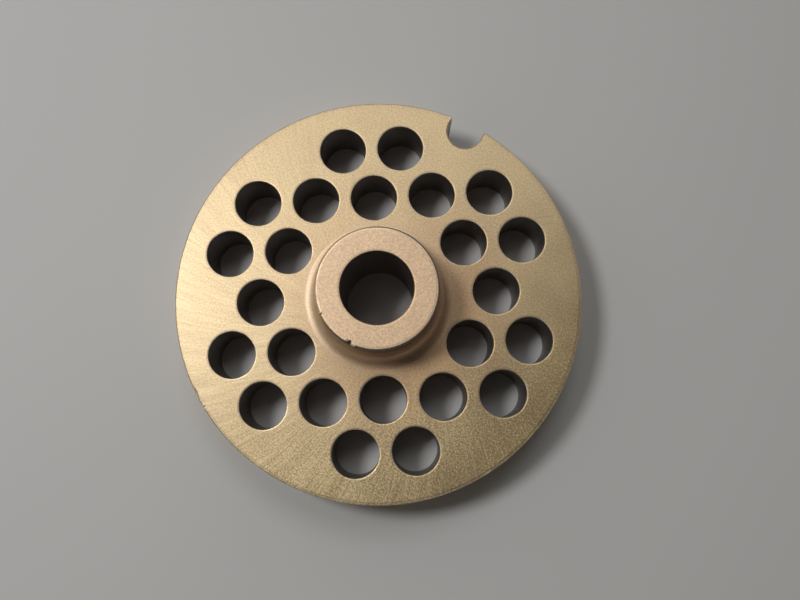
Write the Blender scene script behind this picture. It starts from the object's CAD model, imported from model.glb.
from math import cos, e, radians, sin, sqrt, tan
from types import SimpleNamespace

import bpy
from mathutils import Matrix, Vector

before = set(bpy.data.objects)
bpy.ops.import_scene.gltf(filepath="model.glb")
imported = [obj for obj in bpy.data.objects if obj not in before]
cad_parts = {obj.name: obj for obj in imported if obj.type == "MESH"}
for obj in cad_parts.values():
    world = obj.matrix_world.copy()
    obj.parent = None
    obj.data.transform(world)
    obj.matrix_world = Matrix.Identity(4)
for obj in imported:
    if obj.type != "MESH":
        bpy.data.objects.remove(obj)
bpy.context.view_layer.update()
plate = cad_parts["grinder_plate"]
mm = 0.001
print("frame loaded:", sorted(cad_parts))


# camera, nearly straight above and a little towards the front

cameraSetup = {
    "lens": 34.2,
    "sensor": 36.0,
    "placeMm": (12.40, -16.11, 139.21),
    "turnDegrees": (8.541, -0.009, 27.148),
    "nearest": 0.005,
    "furthest": 20.0,
}


def addCamera():
    turn = [radians(angle) for angle in cameraSetup["turnDegrees"]]
    place = [value * mm for value in cameraSetup["placeMm"]]
    bpy.ops.object.camera_add(location=place, rotation=turn)
    camera = bpy.context.object
    camera.name = "benchCamera"
    camera.data.lens = cameraSetup["lens"]
    camera.data.sensor_width = cameraSetup["sensor"]
    camera.data.clip_start = cameraSetup["nearest"]
    camera.data.clip_end = cameraSetup["furthest"]
    bpy.context.scene.camera = camera


bpy.ops.object.select_all(action="DESELECT")
addCamera()
print("camera placed")


# shader helpers: each one adds nodes and hands back their output

def addNode(tree, kind, inputs=None, **settings):
    node = tree.nodes.new("ShaderNode" + kind)
    for name, value in settings.items():
        setattr(node, name, value)
    for socket, value in (inputs or {}).items():
        if isinstance(value, bpy.types.NodeSocket):
            tree.links.new(value, node.inputs[socket])
        else:
            node.inputs[socket].default_value = value
    return node


def calc(tree, operation, *values):
    return addNode(tree, "Math", dict(enumerate(values)), operation=operation).outputs[0]


def chain(tree, operation, values):
    result = values[0]
    for value in values[1:]:
        result = calc(tree, operation, result, value)
    return result


def total(tree, *values):
    return chain(tree, "ADD", values)


def product(tree, *values):
    return chain(tree, "MULTIPLY", values)


def largest(tree, *values):
    return chain(tree, "MAXIMUM", values)


def flip(tree, value):
    return calc(tree, "SUBTRACT", 1.0, value)


def clamp(tree, value):
    return addNode(tree, "Clamp", {0: value}).outputs[0]


def rise(tree, value, low, high):
    # 0 below low, 1 above high, and a smooth ramp between; high may be the lower of the two
    ends = {"Value": value, "From Min": low, "From Max": high}
    return addNode(tree, "MapRange", ends, interpolation_type="SMOOTHSTEP").outputs[0]


def between(tree, value, low, high, soft):
    # 1 from low to high, fading out over soft on both sides
    return product(tree, rise(tree, value, low - soft, low), rise(tree, value, high + soft, high))


def blend(tree, factor, first, second, mode="MIX"):
    inputs = {0: factor, 6: first, 7: second}
    return addNode(tree, "Mix", inputs, data_type="RGBA", blend_type=mode).outputs[2]


def noise(tree, vector, scale, detail=2.0, rough=0.5):
    # a noise centred on 0 and mostly within -1 and 1
    inputs = {"Vector": vector, "Scale": scale, "Detail": detail, "Roughness": rough}
    value = addNode(tree, "TexNoise", inputs).outputs[0]
    return calc(tree, "MULTIPLY_ADD", value, 4.0, -2.0)


def point(tree, x, y, z):
    return addNode(tree, "CombineXYZ", {0: x, 1: y, 2: z}).outputs[0]


def length(tree, vector):
    return addNode(tree, "VectorMath", {0: vector}, operation="LENGTH").outputs["Value"]


def distanceTo(tree, place, centre):
    inputs = {0: place, 1: centre}
    return addNode(tree, "VectorMath", inputs, operation="DISTANCE").outputs["Value"]


def across(tree, x, y, degrees):
    # how far the point lies from the middle in one direction
    turn = radians(degrees)
    return total(tree, product(tree, x, cos(turn)), product(tree, y, sin(turn)))


def newMaterial(name):
    material = bpy.data.materials.new(name)
    material.use_nodes = True
    return material, material.node_tree


# where the finish goes: sizes of the plate in millimetres

plateSizes = {
    "plateRadius": 35.0,
    "thickness": 10.0,
    "hubRadius": 10.1,
    "hubTop": 19.5,
    "hubRootRadius": 12.7,
    "boreRadius": 6.0,
    "holeRadius": 4.03,
    "holePitch": 10.1486,
    "holesFrom": 16.2,  # the holes' centres lie between these distances from the bore
    "holesTo": 28.4,
    "notchReach": 4.75,
}

# bands beside the edges: the size they follow, and how many millimetres past it they are gone and full
edgeBands = {
    "hub": ("hubTop", -1.0, -0.5),
    "nearHub": ("hubRootRadius", 0.8, -0.6),
    "holeWall": ("holeRadius", 0.3, 0.1),
    "boreWall": ("boreRadius", 0.6, 0.3),
    "notchWall": ("notchReach", 0.4, 0.0),
    "rimSide": ("plateRadius", -0.3, -0.1),
    "rimEdge": ("plateRadius", -0.40, -0.15),
    "holeMouth": ("thickness", -0.2, -0.1),
    "skinEnd": ("hubTop", -6.8, -4.4),
    "holeFall": ("holeRadius", 0.30, 0.06),
    "rimFall": ("plateRadius", -0.60, -0.28),
    "hubFall": ("hubRadius", -0.62, -0.32),
    "boreFall": ("boreRadius", 0.35, 0.10),
}

# lines along the edges: the size they follow, where they start and end past it, and how soft they end
edgeLines = {
    "holeEdge": ("holeRadius", -0.02, 0.12, 0.05),
    "hubEdge": ("hubRadius", -0.48, -0.31, 0.08),
}

# sides that differ from the rest: degrees round the bore, and how far out they start and are full
plateSides = {
    "coarse": (315.0, 10.0, 33.0),  # the grain is coarser
    "dulled": (355.0, 14.0, 38.0),  # the metal is darker
    "stained": (355.0, -8.0, 16.0),  # the hub's surroundings are browner
    "rubbed": (182.0, 3.5, 8.5),  # the hub's edge is bright
}

# which way the surface faces, by the height of its normal: where each starts to count, and counts in full
facings = {
    "upward": (0.6, 0.9),
    "downward": (-0.6, -0.9),
    "sideways": (0.75, 0.35),
}


def nearestHole(tree, x, y):
    # how far the nearest hole's centre is; the pattern is two rectangular grids, one between the other
    pitch = plateSizes["holePitch"]
    cells = (pitch * sqrt(3), pitch)
    soft = 0.05
    farAway = 100.0
    found = []
    for shift in (0.0, 0.5):
        offsets = []
        centres = []
        for value, cell in zip((x, y), cells):
            steps = calc(tree, "DIVIDE", calc(tree, "SUBTRACT", value, shift * cell), cell)
            centre = calc(tree, "MULTIPLY_ADD", calc(tree, "ROUND", steps), cell, shift * cell)
            offsets.append(calc(tree, "SUBTRACT", value, centre))
            centres.append(centre)
        away = length(tree, point(tree, *offsets, 0.0))
        out = length(tree, point(tree, *centres, 0.0))
        # the first ring and the corners have no holes
        real = between(tree, out, plateSizes["holesFrom"], plateSizes["holesTo"], soft)
        found.append(calc(tree, "MULTIPLY_ADD", flip(tree, real), farAway, away))
    return calc(tree, "MINIMUM", *found)


def locate(tree):
    # where the point is, in millimetres, and which way the surface faces
    coordinates = addNode(tree, "TexCoord")
    scaled = {0: coordinates.outputs["Object"], "Scale": 1 / mm}
    place = addNode(tree, "VectorMath", scaled, operation="SCALE").outputs[0]
    x, y, z = addNode(tree, "SeparateXYZ", {0: place}).outputs
    flat = point(tree, x, y, 0.0)
    facing = addNode(tree, "SeparateXYZ", {0: coordinates.outputs["Normal"]}).outputs[2]
    return SimpleNamespace(
        place=place,
        flat=flat,
        x=x,
        y=y,
        z=z,
        radius=length(tree, flat),
        angle=calc(tree, "ARCTAN2", y, x),
        toHole=nearestHole(tree, x, y),
        upward=rise(tree, facing, *facings["upward"]),
        downward=rise(tree, facing, *facings["downward"]),
        sideways=rise(tree, calc(tree, "ABSOLUTE", facing), *facings["sideways"]),
    )


def inBand(tree, value, name):
    size, gone, full = edgeBands[name]
    return rise(tree, value, plateSizes[size] + gone, plateSizes[size] + full)


def onLine(tree, value, name):
    size, start, end, soft = edgeLines[name]
    return between(tree, value, plateSizes[size] + start, plateSizes[size] + end, soft)


def onSide(tree, at, name):
    degrees, start, full = plateSides[name]
    return rise(tree, across(tree, at.x, at.y, degrees), start, full)


def spots(tree, at, table):
    # 1 in the core of any of the round spots in a table, and 0 outside them
    core = 0.6
    strongest = 0.0
    for degrees, radius, *height, reach in table.values():
        x = radius * cos(radians(degrees))
        y = radius * sin(radians(degrees))
        # a spot with no height of its own goes all the way through
        if height:
            away = distanceTo(tree, at.place, (x, y, *height))
        else:
            away = distanceTo(tree, at.flat, (x, y, 0.0))
        strongest = calc(tree, "MAXIMUM", strongest, rise(tree, away, reach, core * reach))
    return strongest


def findFaces(tree, at):
    # 1 on each face that has a finish of its own, and 0 off it
    onHub = inBand(tree, at.z, "hub")
    hubTop = product(tree, at.upward, onHub)
    toNotch = distanceTo(tree, at.flat, (0.0, plateSizes["plateRadius"], 0.0))
    innerWall = largest(
        tree,
        product(tree, at.sideways, inBand(tree, at.toHole, "holeWall")),
        product(tree, at.sideways, inBand(tree, at.radius, "boreWall")),
        product(tree, at.sideways, inBand(tree, toNotch, "notchWall")),
    )
    nearHub = product(tree, inBand(tree, at.radius, "nearHub"), flip(tree, at.downward))
    return SimpleNamespace(
        hubTop=hubTop,
        innerWall=innerWall,
        rimSide=product(tree, at.sideways, inBand(tree, at.radius, "rimSide")),
        turned=product(tree, nearHub, flip(tree, hubTop), flip(tree, innerWall)),
        ground=product(tree, flip(tree, nearHub), flip(tree, onHub), flip(tree, at.sideways)),
        plateTop=product(tree, at.upward, flip(tree, onHub)),
    )


# grain and marks in the metal

# noise through the metal: scale in each millimetre, detail and roughness
grainNoise = {
    "speckle": (3.0, 4.0, 0.75),
    "grit": (8.0, 1.0),
    "clouds": (0.12, 2.0),
    "pitting": (1.9, 1.0),
    "keeping": (0.14, 2.0),  # where the grinding marks are kept
    "wearing": (0.45, 3.0),  # where the hub's skin is worn
    "rubbing": (0.5, 2.0),  # where the edges are rubbed
}

# grinding marks: how close together, how uneven along their length, then detail and roughness
grindNoise = {
    "fine": (110.0, 0.16, 3.0, 0.6),
    "broad": (26.0, 0.10, 2.0),
    "deep": (70.0, 0.22, 1.0),
}

# how the marks lie, where they are kept and how strong they are
markLook = {
    "grindLean": 19.0,  # degrees between a grinding mark and the line to the bore
    "keptSide": 225.0,  # towards here the grinding marks are best kept
    "keptPerMm": 0.05,
    "keptCoarse": 0.8,
    "keptRange": (-1.0, 1.0),
    "deepRange": (0.85, 1.4),
    "pitRange": (1.25, 1.5),
    "contrast": 0.80,
    "coarseContrast": 1.9,
    "ringScale": 3.6,
    "ringWander": 1.2,
    "ringNoise": (3.0, 0.6),
    "onRim": 1.3,
    "fine": 0.26,
    "broad": 0.10,
    "rings": 0.45,
}


def grindMarks(tree, at):
    # arcs that lean over from the line to the bore, sampled round a ring so that they have no seam
    out = calc(tree, "LOGARITHM", calc(tree, "MAXIMUM", at.radius, 1.0), e)
    swept = calc(tree, "MULTIPLY_ADD", out, tan(radians(markLook["grindLean"])), at.angle)
    marks = {}
    for name, (close, uneven, *texture) in grindNoise.items():
        ring = point(
            tree,
            product(tree, calc(tree, "COSINE", swept), close),
            product(tree, calc(tree, "SINE", swept), close),
            product(tree, at.radius, uneven),
        )
        marks[name] = noise(tree, ring, 1.0, *texture)
    return marks


def turnMarks(tree, at, faces):
    # rings round the bore on the hub's root, and down the rim and the hub's side
    look = markLook
    ring = point(
        tree,
        product(tree, at.radius, look["ringScale"]),
        product(tree, at.z, look["ringScale"]),
        product(tree, calc(tree, "SINE", at.angle), look["ringWander"]),
    )
    shown = total(tree, faces.turned, product(tree, faces.rimSide, look["onRim"]))
    return product(tree, noise(tree, ring, 1.0, *look["ringNoise"]), shown)


def makeGrain(tree, at, faces):
    look = markLook
    found = {name: noise(tree, at.place, *texture) for name, texture in grainNoise.items()}
    grind = grindMarks(tree, at)
    rings = turnMarks(tree, at, faces)
    # the marks are worn away in patches and on the side behind the notch, and the grain is coarser in front
    coarse = onSide(tree, at, "coarse")
    keptSide = product(tree, across(tree, at.x, at.y, look["keptSide"]), look["keptPerMm"])
    kept = total(tree, found["keeping"], keptSide, product(tree, coarse, look["keptCoarse"]))
    kept = rise(tree, kept, *look["keptRange"])
    coarseFace = product(tree, coarse, flip(tree, at.sideways))
    contrast = calc(tree, "MULTIPLY_ADD", coarseFace, look["coarseContrast"], look["contrast"])
    deep = rise(tree, grind["deep"], *look["deepRange"])
    return SimpleNamespace(
        **found,
        pits=rise(tree, found["pitting"], *look["pitRange"]),
        coarse=coarse,
        contrast=contrast,
        fineNoise=grind["fine"],
        fine=product(tree, grind["fine"], faces.ground, kept),
        deep=product(tree, deep, faces.ground, kept),
        rings=rings,
        marks=total(
            tree,
            product(tree, grind["fine"], faces.ground, kept, contrast, look["fine"]),
            product(tree, grind["broad"], faces.ground, kept, look["broad"]),
            product(tree, rings, look["rings"]),
        ),
    )


# wear: what use has done to the metal

# where bare metal or dirt shows in the nicks: degrees round the bore, then distance from it, height and
# reach in millimetres
freshNicks = {
    "hubSmall": (231.8, 10.0, 19.40, 0.40),
    "hubDeepLip": (274.6, 9.90, 19.38, 0.52),
    "notchLip": (95.4, 34.9, 9.9, 0.55),
    "rimLeft": (239.7, 34.9, 9.9, 0.5),
    "rimFront": (328.5, 34.9, 9.9, 0.5),
}
dirtyNicks = {"hubDeep": (268.6, 9.80, 19.45, 0.42)}

# faint grey smudges: degrees round the bore, then distance from it and reach in millimetres
smudges = {
    "behindNotch": (52.5, 32.0, 2.0),
    "besideHub": (327.0, 12.9, 1.0),
    "atHub": (317.0, 11.4, 0.8),
}

# how strong each kind of wear is, and from where to where its pattern comes up
wearLook = {
    "stainReach": (27.0, 12.0),  # millimetres from the bore
    "brownLeast": 0.25,
    "greenRange": (-0.6, 1.4),
    "smudgeRange": (-0.5, 1.6),
    "smudgeStrength": 0.5,
    "rubbedRange": (-0.9, 0.7),
    "rubbedStrength": 0.8,
    "rimRubbed": 0.6,
    "hubRubbed": 0.5,
    "nickRange": (-1.2, 0.0),
}

# the dark skin on the hub's side: how far below the hub's top it starts, and how ragged and how soft its
# upper and lower ends are, in millimetres
skinLook = {
    "below": 0.06,
    "rubbedBelow": 0.24,
    "raggedTop": 0.04,
    "softTop": 0.10,
    "raggedEnd": 1.2,
    "wornRange": (-1.5, -0.5),
}


def darkSkin(tree, at, faces, grain, nicks):
    # the hub's side keeps a dark skin, and so does its broken edge, except where the hand rubs it
    look = skinLook
    rubbedSide = onSide(tree, at, "rubbed")
    highest = plateSizes["hubTop"] - look["below"]
    skinTop = calc(tree, "MULTIPLY_ADD", rubbedSide, -look["rubbedBelow"], highest)
    ragged = calc(tree, "MULTIPLY_ADD", grain.speckle, look["raggedTop"], at.z)
    return product(
        tree,
        flip(tree, faces.innerWall),
        inBand(tree, calc(tree, "MULTIPLY_ADD", grain.wearing, look["raggedEnd"], at.z), "skinEnd"),
        rise(tree, grain.wearing, *look["wornRange"]),
        rise(tree, calc(tree, "SUBTRACT", skinTop, ragged), 0.0, look["softTop"]),
        flip(tree, nicks),
    )


def findWear(tree, at, faces, grain):
    look = wearLook
    nicks = spots(tree, at, freshNicks)
    # stains from oil and meat: brown round the hub, most of all on its dull side, and greenish further out
    nearby = rise(tree, at.radius, *look["stainReach"])
    brownest = 1 - look["brownLeast"]
    stained = calc(tree, "MULTIPLY_ADD", onSide(tree, at, "stained"), brownest, look["brownLeast"])
    patches = rise(tree, total(tree, grain.clouds, grain.coarse), *look["greenRange"])
    broken = rise(tree, total(tree, grain.speckle, grain.fineNoise), *look["smudgeRange"])
    # the holes' mouths, the rim and the hub's upper edge are rubbed bright in places
    holeEdge = product(tree, onLine(tree, at.toHole, "holeEdge"), inBand(tree, at.z, "holeMouth"))
    rimEdge = product(tree, inBand(tree, at.radius, "rimEdge"), at.upward, look["rimRubbed"])
    hubEdge = product(tree, onLine(tree, at.radius, "hubEdge"), faces.hubTop, look["hubRubbed"])
    rubbed = product(
        tree,
        clamp(tree, total(tree, holeEdge, rimEdge, hubEdge)),
        rise(tree, grain.rubbing, *look["rubbedRange"]),
        look["rubbedStrength"],
    )
    fresh = product(tree, nicks, rise(tree, grain.speckle, *look["nickRange"]))
    return SimpleNamespace(
        brown=product(tree, nearby, stained, flip(tree, faces.hubTop)),
        green=product(tree, patches, flip(tree, nearby)),
        skin=darkSkin(tree, at, faces, grain, nicks),
        smudged=product(tree, spots(tree, at, smudges), at.upward, broken, look["smudgeStrength"]),
        dirty=spots(tree, at, dirtyNicks),
        bright=largest(tree, rubbed, fresh),
    )


# the ground steel: colours of the dark and the light grain on each face

grainColours = {
    "ground": ((0.33, 0.22, 0.085, 1.0), (0.87, 0.665, 0.385, 1.0)),
    "hubTop": ((0.51, 0.34, 0.195, 1.0), (0.97, 0.71, 0.45, 1.0)),
    "turned": ((0.44, 0.31, 0.17, 1.0), (0.76, 0.57, 0.36, 1.0)),
    "innerWall": ((0.065, 0.048, 0.042, 1.0), (0.27, 0.21, 0.17, 1.0)),
    "skin": ((0.022, 0.017, 0.014, 1.0), (0.17, 0.128, 0.092, 1.0)),
}

# stains that darken the metal under them, and wear that covers it
stainColours = {
    "brown": (0.88, 0.74, 0.68, 1.0),
    "green": (0.975, 1.0, 0.93, 1.0),
}
wearColours = {
    "smudged": (0.22, 0.165, 0.11, 1.0),
    "dirty": (0.10, 0.07, 0.05, 1.0),
    "bright": (0.93, 0.78, 0.57, 1.0),
}

# how much each pattern lightens the grain; a negative one darkens it
toneShares = {
    "middle": 0.5,
    "speckle": 0.50,
    "grit": 0.32,
    "hubGrain": 0.13,
    "clouds": 0.14,
    "dulled": -0.30,
    "marks": 0.70,
    "pits": -0.35,
    "deep": 0.18,
}

# roughness of the ground faces and of the others, and what the patterns add to it
steelRoughness = {
    "ground": 0.52,
    "hubTop": 0.60,
    "turned": 0.52,
    "innerWall": 0.50,
    "speckle": 0.03,
    "clouds": 0.03,
    "marks": -0.04,
    "bright": -0.12,
}

# height of each pattern in millimetres
reliefHeights = {
    "edgeFall": -0.035,
    "speckle": 0.0024,
    "fine": 0.0015,
    "deep": -0.003,
    "rings": 0.004,
    "pits": -0.02,
}

# the metal itself, and the film of oil on it
steelShader = {
    "Metallic": 0.92,
    "Coat Weight": 0.9,
    "Coat Roughness": 0.45,
    "Coat IOR": 1.8,
}


def mixTone(tree, at, faces, grain):
    # 0 for the dark grain, 1 for the light
    share = toneShares
    tone = total(
        tree,
        share["middle"],
        product(tree, grain.speckle, grain.contrast, share["speckle"]),
        product(tree, grain.grit, grain.contrast, share["grit"]),
        product(tree, total(tree, grain.speckle, grain.grit), faces.hubTop, share["hubGrain"]),
        product(tree, grain.clouds, share["clouds"]),
        product(tree, onSide(tree, at, "dulled"), share["dulled"]),
        product(tree, grain.marks, share["marks"]),
        product(tree, grain.pits, share["pits"]),
        product(tree, grain.deep, share["deep"]),
    )
    return clamp(tree, tone)


def steelColour(tree, faces, wear, tone):
    colour = blend(tree, tone, *grainColours["ground"])
    for name in ("hubTop", "turned", "innerWall"):
        colour = blend(tree, getattr(faces, name), colour, blend(tree, tone, *grainColours[name]))
    for name, stain in stainColours.items():
        colour = blend(tree, getattr(wear, name), colour, stain, "MULTIPLY")
    colour = blend(tree, wear.skin, colour, blend(tree, tone, *grainColours["skin"]))
    for name, cover in wearColours.items():
        colour = blend(tree, getattr(wear, name), colour, cover)
    return colour


def roughnessOf(tree, faces, grain, wear):
    rough = steelRoughness
    return total(
        tree,
        rough["ground"],
        product(tree, grain.speckle, rough["speckle"]),
        product(tree, grain.clouds, rough["clouds"]),
        product(tree, grain.marks, rough["marks"]),
        product(tree, faces.hubTop, rough["hubTop"] - rough["ground"]),
        product(tree, faces.turned, rough["turned"] - rough["ground"]),
        product(tree, faces.innerWall, rough["innerWall"] - rough["ground"]),
        product(tree, wear.bright, rough["bright"]),
    )


def reliefOf(tree, at, faces, grain):
    # the flat faces fall away a little before their edges break
    high = reliefHeights
    edgeFall = total(
        tree,
        product(tree, inBand(tree, at.toHole, "holeFall"), faces.plateTop),
        product(tree, inBand(tree, at.radius, "rimFall"), faces.plateTop),
        product(tree, inBand(tree, at.radius, "hubFall"), faces.hubTop),
        product(tree, inBand(tree, at.radius, "boreFall"), faces.hubTop),
    )
    height = total(
        tree,
        product(tree, edgeFall, high["edgeFall"]),
        product(tree, grain.speckle, high["speckle"]),
        product(tree, grain.fine, high["fine"]),
        product(tree, grain.deep, high["deep"]),
        product(tree, grain.rings, high["rings"]),
        product(tree, grain.pits, high["pits"]),
    )
    return addNode(tree, "Bump", {"Height": height, "Distance": mm, "Strength": 1.0}).outputs[0]


def groundSteel():
    material, tree = newMaterial("groundSteelFinish")
    at = locate(tree)
    faces = findFaces(tree, at)
    grain = makeGrain(tree, at, faces)
    wear = findWear(tree, at, faces, grain)
    tone = mixTone(tree, at, faces, grain)
    shader = tree.nodes["Principled BSDF"]
    for socket, value in steelShader.items():
        shader.inputs[socket].default_value = value
    tree.links.new(steelColour(tree, faces, wear, tone), shader.inputs["Base Color"])
    tree.links.new(roughnessOf(tree, faces, grain, wear), shader.inputs["Roughness"])
    tree.links.new(reliefOf(tree, at, faces, grain), shader.inputs["Normal"])
    return material


plate.material_slots[0].material = groundSteel()
print("ground steel on", plate.name)


# floor

floorLook = {
    "colour": (0.57, 0.567, 0.56, 1.0),
    "roughness": 0.85,
    "shine": 0.2,
    "backdrop": (0.56, 0.555, 0.545, 1.0),
    "sweep": (0.10, 0.36),  # it runs into the backdrop between these distances from the bore
    "halfWidth": 3.0,
    "below": 0.02 * mm,  # keeps it off the cutting face
}


def addFloor():
    place = (0, 0, -floorLook["below"])
    bpy.ops.mesh.primitive_plane_add(size=2 * floorLook["halfWidth"], location=place)
    floor = bpy.context.object
    floor.name = "floor"
    material, tree = newMaterial("paleFloor")
    shader = tree.nodes["Principled BSDF"]
    shader.inputs["Base Color"].default_value = floorLook["colour"]
    shader.inputs["Roughness"].default_value = floorLook["roughness"]
    shader.inputs["Specular IOR Level"].default_value = floorLook["shine"]
    away = distanceTo(tree, addNode(tree, "TexCoord").outputs["Object"], (0.0, 0.0, 0.0))
    path = addNode(tree, "LightPath").outputs
    seen = largest(tree, path["Is Camera Ray"], path["Is Glossy Ray"])
    swept = product(tree, seen, rise(tree, away, *floorLook["sweep"]))
    backdrop = addNode(tree, "Emission", {"Color": floorLook["backdrop"], "Strength": 1.0})
    both = addNode(tree, "MixShader", {0: swept, 1: shader.outputs[0], 2: backdrop.outputs[0]})
    tree.links.new(both.outputs[0], tree.nodes["Material Output"].inputs["Surface"])
    floor.data.materials.append(material)


bpy.ops.object.select_all(action="DESELECT")
addFloor()
print("floor laid")


# lamps

lampSetup = {
    "key": {"azimuth": 188.0, "elevation": 61.0, "distance": 0.35, "size": 0.08, "watts": 0.455},
    "fill": {"azimuth": 113.0, "elevation": 60.0, "distance": 0.9, "size": 0.4, "watts": 1.2},
}


def addLamp(name, lamp):
    azimuth = radians(lamp["azimuth"])
    elevation = radians(lamp["elevation"])
    towards = Vector((cos(azimuth) * cos(elevation), sin(azimuth) * cos(elevation), sin(elevation)))
    turn = towards.to_track_quat("Z", "Y").to_euler()
    bpy.ops.object.light_add(type="AREA", location=towards * lamp["distance"], rotation=turn)
    light = bpy.context.object
    light.name = name
    light.data.shape = "DISK"
    light.data.size = lamp["size"]
    light.data.energy = lamp["watts"]


for name, lamp in lampSetup.items():
    addLamp(name, lamp)


# the light all round: a pale backdrop up to a little above the floor, then soft light, mostly from one side

worldLook = {
    "tint": (1.0, 0.95, 0.88, 1.0),
    "litAzimuth": 155.0,
    "litRange": (-0.4, 0.4),
    "litSide": 0.45,
    "farSide": 0.055,
    "overhead": 0.024,
    "overheadRange": (0.95, 0.5),
    "horizon": 0.56,
    "horizonRange": (0.20, 0.08),
}


def addWorld():
    look = worldLook
    world = bpy.data.worlds.new("studio")
    bpy.context.scene.world = world
    world.use_nodes = True
    tree = world.node_tree
    tree.nodes.clear()
    direction = addNode(tree, "TexCoord").outputs["Generated"]
    x, y, height = addNode(tree, "SeparateXYZ", {0: direction}).outputs
    towardsLit = across(tree, x, y, look["litAzimuth"])
    lit = product(tree, rise(tree, towardsLit, *look["litRange"]), look["litSide"] - look["farSide"])
    sides = total(tree, lit, look["farSide"] - look["overhead"])
    sides = product(tree, sides, rise(tree, height, *look["overheadRange"]))
    above = total(tree, look["overhead"], sides)
    horizon = rise(tree, height, *look["horizonRange"])
    softLight = product(tree, flip(tree, horizon), above)
    strength = total(tree, softLight, product(tree, horizon, look["horizon"]))
    light = addNode(tree, "Background", {"Color": look["tint"], "Strength": strength})
    addNode(tree, "OutputWorld", {0: light.outputs[0]})


addWorld()
bpy.context.scene.view_settings.view_transform = "Standard"
print("lamps lit")


print("sizes written")
